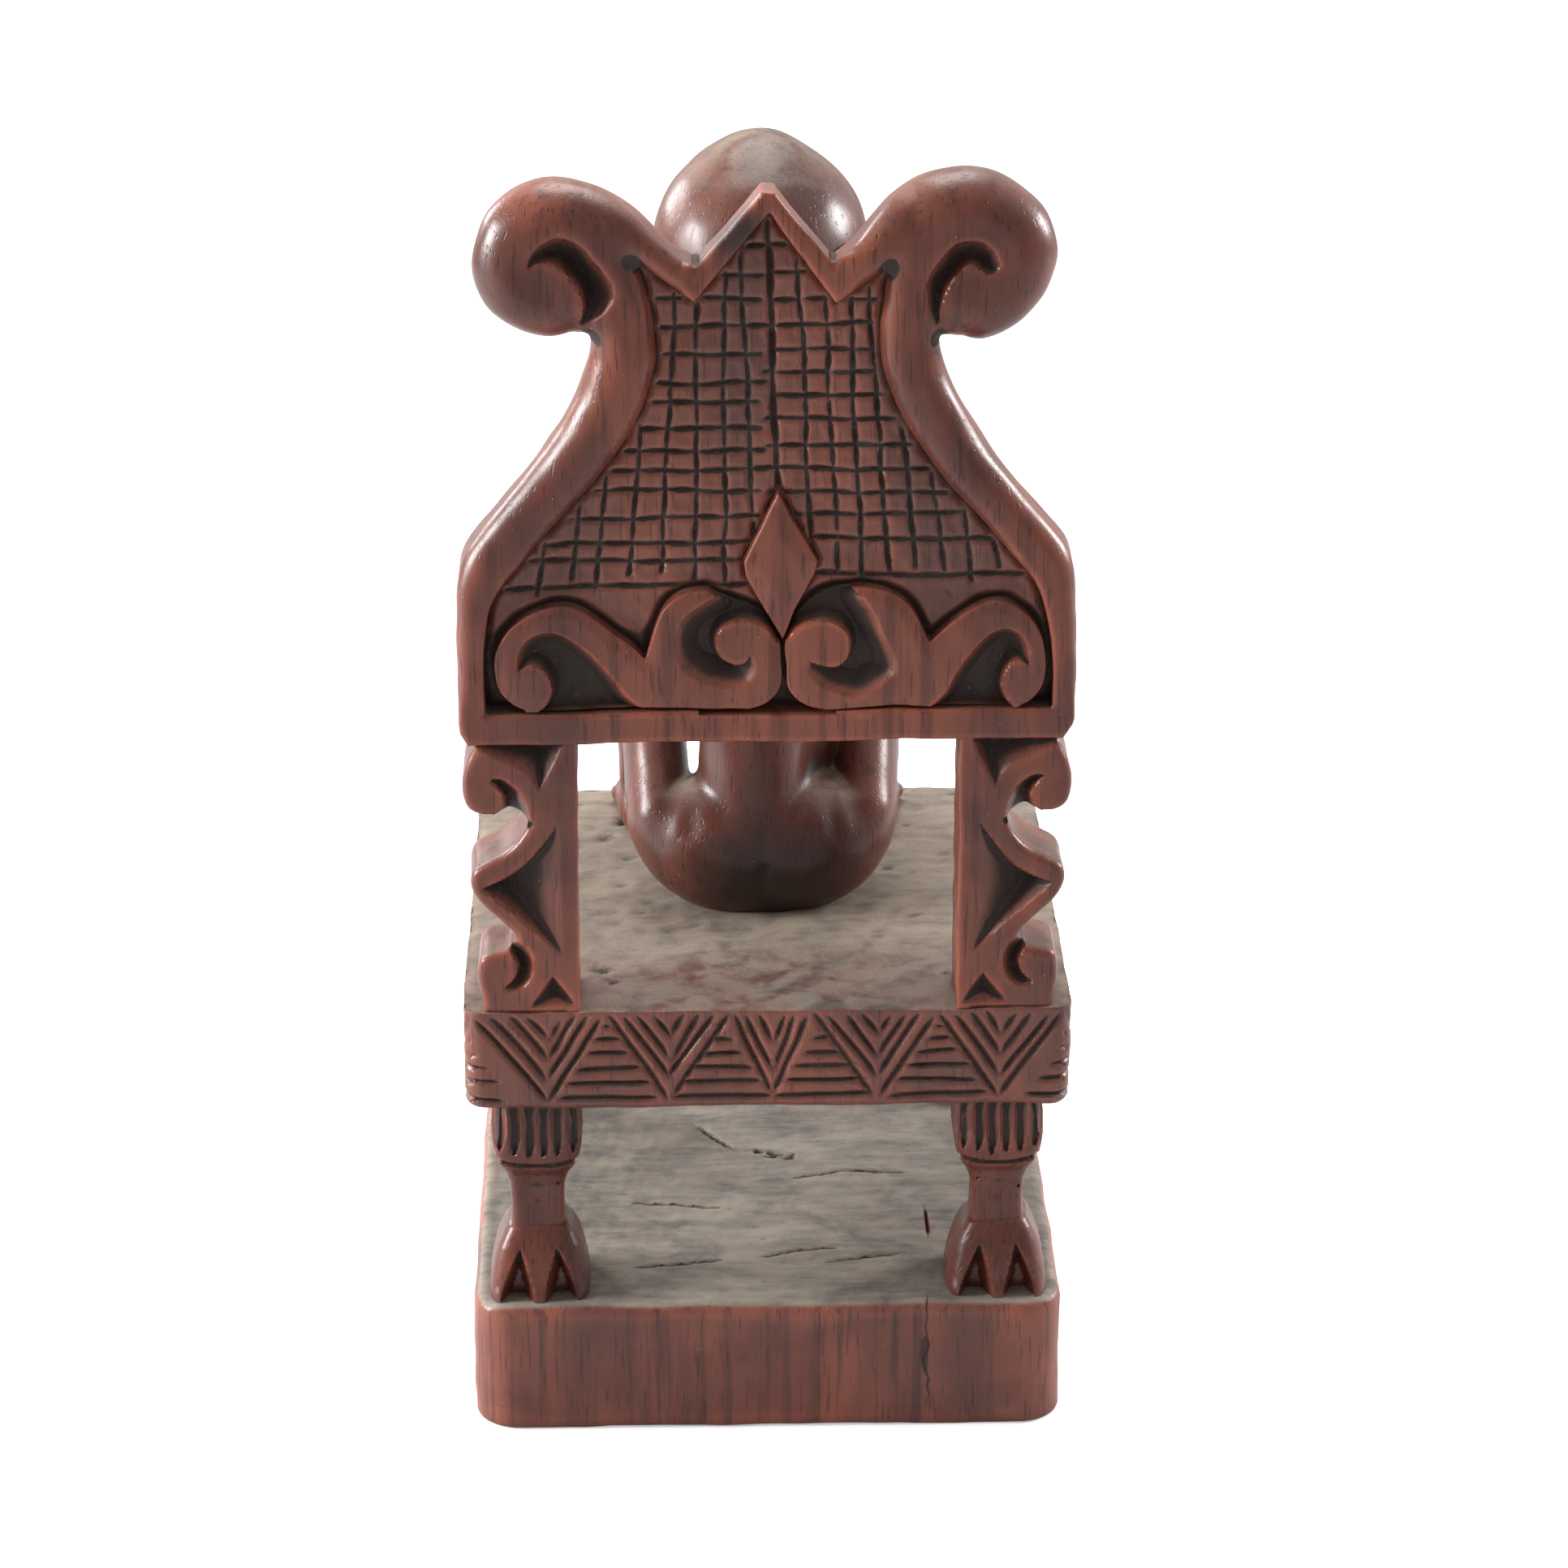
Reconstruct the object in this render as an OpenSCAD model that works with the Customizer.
// Carved hardwood sculpture: a squatting figure on a high-backed throne.
// The figure looks along -Y, the backrest stands at +Y, and the plinth's underside is z = 0.
// left_ and right_ are the figure's own sides: left is +X.

/* [Plinth and legs] */
// Width of the plinth, side to side
plinth_w = 99; // [94:0.5:104]
// Height of the plinth
plinth_h = 23.4; // [18:0.1:30]
// Radius of the plinth's upright corners
plinth_r = 7; // [4:0.5:10]
// Height of a leg and its foot together
leg_h = 36; // [32:0.5:42]
// Width of a leg's fluted cuff
cuff_w = 15.6; // [14:0.1:17]
// Width of a leg at the ankle
ankle_w = 10; // [8:0.1:12]
// Width of a foot across its toes
paw_w = 17; // [15:0.1:18]

/* [Seat] */
// Width of the seat slab
seat_w = 100; // [96:0.5:104]
// Depth of the seat slab, front to back
seat_d = 97; // [94:0.5:102]
// Thickness of the seat slab
seat_t = 18.3; // [14:0.1:22]

/* [Backrest] */
// Height of the open window between seat and backrest
window_h = 47.3; // [42:0.1:54]
// Thickness of the posts, rail and scrolled rims
back_t = 14; // [12:0.5:16]
// Depth of the hatched ground below the rims' face
sunk = 2.5; // [1.5:0.1:3.5]
// Thickness of the hatched board
board_t = 7.5; // [6:0.1:9]
// Height of the backrest's bottom rail
rail_h = 4.2; // [3:0.1:5]
// Width of a post at its straight inner strip
post_w = 17.8; // [16:0.1:19]
// Radius of the scrolled ears
ear_r = 13; // [12:0.1:13.5]

/* [Figure] */
// Width of the head
head_w = 34.5; // [30:0.5:38]
// Height of the crown of the head above the seat
sitting_h = 132.5; // [128:0.5:136]
// Half the distance between the knees
knee_x = 20; // [19:0.25:21]
// How far the hips sit in front of the slab's centre
hips_fwd = 4; // [2:0.5:6]

/* [Hidden] */

polished = "#7a3a2c";
dusty = "#8d8072";
dark = "#4a221b";

back_y = seat_d / 2;                 // the rear face of the whole carving
seat_z0 = plinth_h + leg_h;          // underside of the seat slab
seat_z = seat_z0 + seat_t;           // top of the seat slab
rail_z = seat_z + window_h;          // underside of the backrest
rim_x = seat_w / 2 - 0.6;            // half the width of the backrest
post_x = seat_w / 2 - 1.4;           // a post's outermost point
leg_x = seat_w / 2 - cuff_w / 2 - 3.2;
leg_y = seat_d / 2 - cuff_w / 2 - 1.2;
paw_z = plinth_h + 0.4 * leg_h;      // where a leg becomes its foot
ground_y = back_y - sunk;            // the hatched ground's face
ear_c = [32.4, 78.6];                // an ear's centre, above the rail's underside
neck_c = [27, 66];                   // where the rim is narrowest, under the ear
inner_c = [17.4, 64];                // the same place on the rim's inner edge
flat = 0.02;                         // thickness of the plates that hull() joins
limb_fn = 20;                        // facets round a limb

// Points along an arc, angles in degrees
function arc(c, r, a0, a1, n) = [for (i = [0:n]) let (a = a0 + (a1 - a0) * i / n) c + r * [cos(a), sin(a)]];
// Eases from 0 to 1
function ease(t) = t * t * (3 - 2 * t);
// An S-curve from a to b that leaves and arrives upright
function s_curve(a, b, n) = [for (i = [0:n]) let (t = i / n) [a.x + (b.x - a.x) * ease(t), a.y + (b.y - a.y) * t]];

module rounded_rect(w, d, r) {
    n = 8;
    x = w / 2 - r;
    y = d / 2 - r;
    polygon(concat(arc([x, y], r, 0, 90, n), arc([-x, y], r, 90, 180, n),
        arc([-x, -y], r, 180, 270, n), arc([x, -y], r, 270, 360, n)));
}

// Stands a flat outline, drawn as [x, height], upright with its rear face at y
module upright(y, t) {
    translate([0, y, 0]) rotate([90, 0, 0]) linear_extrude(t) children();
}

module on_side(s) {
    if (s > 0) children();
    else mirror([1, 0, 0]) children();
}

// ---------------------------------------------------------------- plinth, legs, seat

module plinth() {
    color(polished) linear_extrude(plinth_h) rounded_rect(plinth_w, seat_d, plinth_r);
}

module plate(w, z) {
    translate([-w / 2, -w / 2, z]) cube([w, w, flat]);
}

// A leg: fluted cuff above, waist below
module leg(sx, sy) {
    color(polished) translate([sx * leg_x, sy * leg_y, 0]) {
        hull() {
            plate(cuff_w - 0.6, seat_z0 - flat);
            plate(cuff_w, seat_z0 - 5);
            plate(cuff_w - 2, seat_z0 - 10);
        }
        hull() {
            plate(cuff_w - 2.6, seat_z0 - 10);
            plate(ankle_w, paw_z + 5);
        }
        hull() {
            plate(ankle_w, paw_z + 5 - flat);
            plate(ankle_w + 0.2, paw_z);
        }
    }
}

// The dark notch between two toes
module toe_notch(x) {
    translate([x, paw_w / 2 + 0.4, plinth_h - 0.2]) rotate([18, 0, 0])
        linear_extrude(9, scale = 0.15) translate([-1.9, -2.6]) square([3.8, 3.2]);
}

// A foot with three toes that point outwards
module paw(sx, sy) {
    color(dark) translate([sx * leg_x, sy * leg_y, 0]) mirror([0, sy > 0 ? 0 : 1, 0]) difference() {
        hull() {
            plate(ankle_w + 0.2, paw_z - flat);
            translate([0, 0.4, 0]) plate(paw_w, plinth_h);
        }
        for (x = [-3.6, 3.6]) toe_notch(x);
    }
}

module seat_slab() {
    color(dusty) translate([0, 0, seat_z0]) linear_extrude(seat_t) rounded_rect(seat_w, seat_d, 2.5);
}

// ---------------------------------------------------------------- backrest

// A post's outline: a straight inner strip, and scrolls and a point along its outer edge
module post_outline() {
    x0 = post_x - post_w;
    x1 = post_x;
    h = window_h;
    polygon(concat(
        [[x0, 0], [x1 - 1.6, 0], [x1 - 1.4, 8.4], [x1 - 3.8, 10.4], [x1 - 7.6, 12]],
        arc([x1 - 2.6, 22], 2.6, -50, 60, 5),
        [[x1 - 10, 32.6], [x1 - 7.6, 34.9]],
        arc([x1 - 3.8, 38.2], 3.8, 250, 380, 7),
        [[x1 - 2, h - 2], [x1 - 2.4, h], [x0, h]]));
}

// The pockets that shape a post's face: two crescents and three triangles
module post_pockets() {
    x1 = post_x;
    difference() {
        translate([x1 - 7.2, 37.2]) circle(4.6, $fn = 40);
        translate([x1 - 4.2, 38.4]) circle(3.6, $fn = 40);
    }
    difference() {
        translate([x1 - 7, 7.6]) circle(4.4, $fn = 40);
        translate([x1 - 4.4, 5.6]) circle(3.8, $fn = 40);
    }
    polygon([[x1 - 2.2, 23.2], [x1 - 9.4, 28], [x1 - 15.2, 35], [x1 - 15.4, 13]]);
    polygon([[x1 - 16.4, 46.4], [x1 - 12.6, 38.6], [x1 - 8.6, 43], [x1 - 2.8, 46.4]]);
    polygon([[x1 - 16.6, 1], [x1 - 13.2, 6], [x1 - 9.6, 1]]);
}

module post(s) {
    color(polished) translate([0, 0, seat_z]) on_side(s) difference() {
        upright(back_y - 0.4, back_t - 0.4) post_outline();
        upright(back_y + 0.6, 4) post_pockets();
    }
}

module back_rail() {
    color(polished) translate([0, 0, rail_z]) upright(back_y, back_t)
        polygon([[-rim_x + 1.2, 0], [rim_x - 1.2, 0], [rim_x, 1.6], [rim_x, rail_h], [-rim_x, rail_h], [-rim_x, 1.6]]);
}

// The rim's outline on one side, from the rail up to the crown
function rim_outline() = concat(
    [[rim_x, rail_h], [rim_x, 25]],
    s_curve([rim_x, 25], neck_c, 14),
    arc(ear_c, ear_r, -112, 140, 30),
    [[14.2, 80.6], [11.2, 77.6], [11, 72.4], [19.4, 77], [18, 71]],
    s_curve(inner_c, [rim_x - 4.1, 16], 14),
    [[rim_x - 3.9, rail_h]]);

// The crescent that curls the ear into a scroll
module ear_crescent() {
    difference() {
        translate([31.1, 76.4]) circle(7.7, $fn = 48);
        translate([34.4, 72.6]) circle(6, $fn = 48);
    }
}

module ear_rim(s) {
    color(polished) translate([0, 0, rail_z]) on_side(s) difference() {
        upright(back_y, back_t) polygon(rim_outline());
        upright(back_y + 1, 5.5) ear_crescent();
    }
}

// The hatched ground inside the rims, below the crown
module hatched_board() {
    right = concat([[rim_x - 3.9, rail_h]], [for (i = [14:-1:0]) s_curve(inner_c, [rim_x - 4.1, 16], 14)[i]],
        [[18, 71], [19.4, 77], [11, 72.4]]);
    left = [for (i = [len(right) - 1:-1:0]) [-right[i].x, right[i].y]];
    color(dark) translate([0, 0, rail_z]) upright(ground_y, board_t) polygon(concat(right, [[0, 86.4]], left));
}

// The peak between the ears, with its bevelled edge
module crown() {
    color(polished) translate([0, 0, rail_z]) upright(back_y - 0.6, back_t - 3)
        polygon([[-11, 72.4], [0, 86.4], [11, 72.4], [11.2, 77.6], [9.6, 78], [1, 90], [-1, 90], [-9.6, 78],
            [-11.2, 77.6]]);
}

module relief(s) {
    color(polished) translate([0, 0, rail_z]) on_side(s) upright(back_y - 0.3, sunk - 0.3) children();
}

// The curl at the outer corner, which falls into the middle of the band
module outer_scroll(s) {
    relief(s) difference() {
        polygon(concat(arc([33.6, 13], 9.4, 180, 28, 12), arc([37.4, 9.4], 5.6, 10, -100, 8),
            [[20.4, rail_h], [19.4, rail_h], [19.4, 12.8], [21.4, 15.6]]));
        polygon(concat(arc([33.6, 11.4], 6, 170, 40, 8), arc([36.9, 9], 3.4, 100, 250, 8), [[24, rail_h + 0.8]]));
    }
}

// The curl beside the diamond
module inner_scroll(s) {
    relief(s) difference() {
        polygon(concat([[19.2, rail_h], [19.2, 13]], arc([12.6, 17], 8, -20, 120, 10), [[7.6, 23.6], [7.6, 20.4]],
            arc([4.2, 15], 4.2, 70, 170, 6), arc([5, 10], 5.4, 160, 250, 6)));
        difference() {
            translate([9.4, 14.8]) circle(5.2, $fn = 40);
            translate([4.2, 15]) circle(4.2, $fn = 40);
        }
    }
}

module diamond() {
    color(polished) translate([0, 0, rail_z]) upright(back_y - 0.3, sunk - 0.3)
        polygon([[0, 42], [-5.6, 29], [-5.2, 27], [-1.6, 21], [0, 19.2], [1.6, 21], [5.2, 27], [5.6, 29]]);
}

// ---------------------------------------------------------------- figure

hip_y = -hips_fwd;
head_top = seat_z + sitting_h;
knee = [knee_x, -34, seat_z + 50];
hip = [12.5, hip_y, seat_z + 12];
ankle = [knee_x + 1, -35, seat_z + 6];
shoulder = [19, hip_y - 4, seat_z + 72];
elbow = [26, -31, seat_z + 58];

module ball(p, r) {
    translate(p) sphere(r, $fn = limb_fn);
}

// A limb between two joints of the body
module limb(a, ra, b, rb) {
    hull() {
        ball(a, ra);
        ball(b, rb);
    }
}

// The seated mass, flat underneath where it meets the seat
module hips_form() {
    hull() {
        for (s = [-1, 1]) {
            ball([s * 8, hip_y + 5, seat_z + 10.6], 10.5);
            ball([s * 9.5, hip_y + 3, seat_z + 13], 11);
            ball([s * 11, hip_y - 10, seat_z + 11.1], 11);
            translate([s * 8, hip_y + 6, seat_z]) cylinder(h = flat, r = 8, $fn = 30);
            translate([s * 11, hip_y - 11, seat_z]) cylinder(h = flat, r = 7, $fn = 30);
        }
    }
}

module torso_form() {
    hull() {
        ball([0, hip_y + 3, seat_z + 16], 10);
        for (s = [-1, 1]) ball([s * 2.6, hip_y + 1, seat_z + 32], 9);
        for (s = [-1, 1]) ball([s * 11.5, hip_y - 3, seat_z + 70], 10);
    }
}

module thigh_form(s) {
    on_side(s) limb(hip, 9, knee, 7);
}

module shin_form(s) {
    on_side(s) limb(knee + [0, 0, -3], 6.4, ankle, 4.8);
}

module upper_arm_form(s) {
    on_side(s) limb(shoulder, 7.4, elbow, 5.6);
}

// The left forearm lies over the right one
module forearm_form(s) {
    lift = s > 0 ? 4.5 : 0;
    on_side(s) limb(elbow + [0, -1.5, 0], 5.2, [-14, -37, elbow.z + 2 + lift], 4.2);
}

module hips() {
    color(dark) hips_form();
}

module torso() {
    color(dark) difference() {
        torso_form();
        hips_form();
    }
}

module thigh(s) {
    color(dark) difference() {
        thigh_form(s);
        hips_form();
        torso_form();
    }
}

module shin(s) {
    color(dark) difference() {
        shin_form(s);
        thigh_form(s);
        translate([-50, -50, seat_z - 20]) cube([100, 100, 20]);
    }
}

// A foot flat on the seat, toes to the front
module foot(s) {
    color(dark) difference() {
        on_side(s) hull() {
            translate([ankle.x - 4.4, ankle.y - 10, seat_z]) cube([11, 6, 2.4]);
            translate([ankle.x - 3.6, ankle.y + 1, seat_z]) cube([8, 4.6, 5]);
        }
        shin_form(s);
    }
}

module neck() {
    color(dark) difference() {
        translate([0, hip_y - 5, seat_z + 72]) cylinder(h = 20, r1 = 9.5, r2 = 8.2, $fn = 40);
        torso_form();
        head_form();
    }
}

// An egg with a slightly pointed crown and a narrower jaw
module head_form() {
    c = [0, hip_y - 5, head_top - 18.4];
    r = head_w / 2;
    hull() {
        translate(c) sphere(r, $fn = 32);
        translate(c + [0, -1, 11.4]) sphere(7, $fn = 20);
        translate(c + [0, -6, -20]) sphere(r - 6, $fn = 28);
        translate(c + [0, -2, -6]) sphere(r - 0.4, $fn = 32);
    }
}

module head() {
    color(dark) head_form();
}

module upper_arm(s) {
    color(dark) difference() {
        upper_arm_form(s);
        torso_form();
        thigh_form(s);
    }
}

module forearm(s) {
    color(dark) difference() {
        forearm_form(s);
        upper_arm_form(s);
        for (k = [-1, 1]) thigh_form(k);
        if (s < 0) {
            forearm_form(1);
            upper_arm_form(1);
        }
        else upper_arm_form(-1);
    }
}

plinth();
leg(1, -1);  // front_left_leg
leg(-1, -1);  // front_right_leg
leg(1, 1);  // rear_left_leg
leg(-1, 1);  // rear_right_leg
paw(1, -1);  // front_left_paw
paw(-1, -1);  // front_right_paw
paw(1, 1);  // rear_left_paw
paw(-1, 1);  // rear_right_paw
seat_slab();
post(1);  // left_post
post(-1);  // right_post
back_rail();
hatched_board();
crown();
ear_rim(1);  // left_ear_rim
ear_rim(-1);  // right_ear_rim
outer_scroll(1);  // outer_scroll_left
inner_scroll(1);  // inner_scroll_left
inner_scroll(-1);  // inner_scroll_right
outer_scroll(-1);  // outer_scroll_right
diamond();
hips();
torso();
neck();
head();
thigh(1);  // left_thigh
thigh(-1);  // right_thigh
shin(1);  // left_shin
shin(-1);  // right_shin
foot(1);  // left_foot
foot(-1);  // right_foot
upper_arm(1);  // left_upper_arm
upper_arm(-1);  // right_upper_arm
forearm(1);  // left_forearm
forearm(-1);  // right_forearm
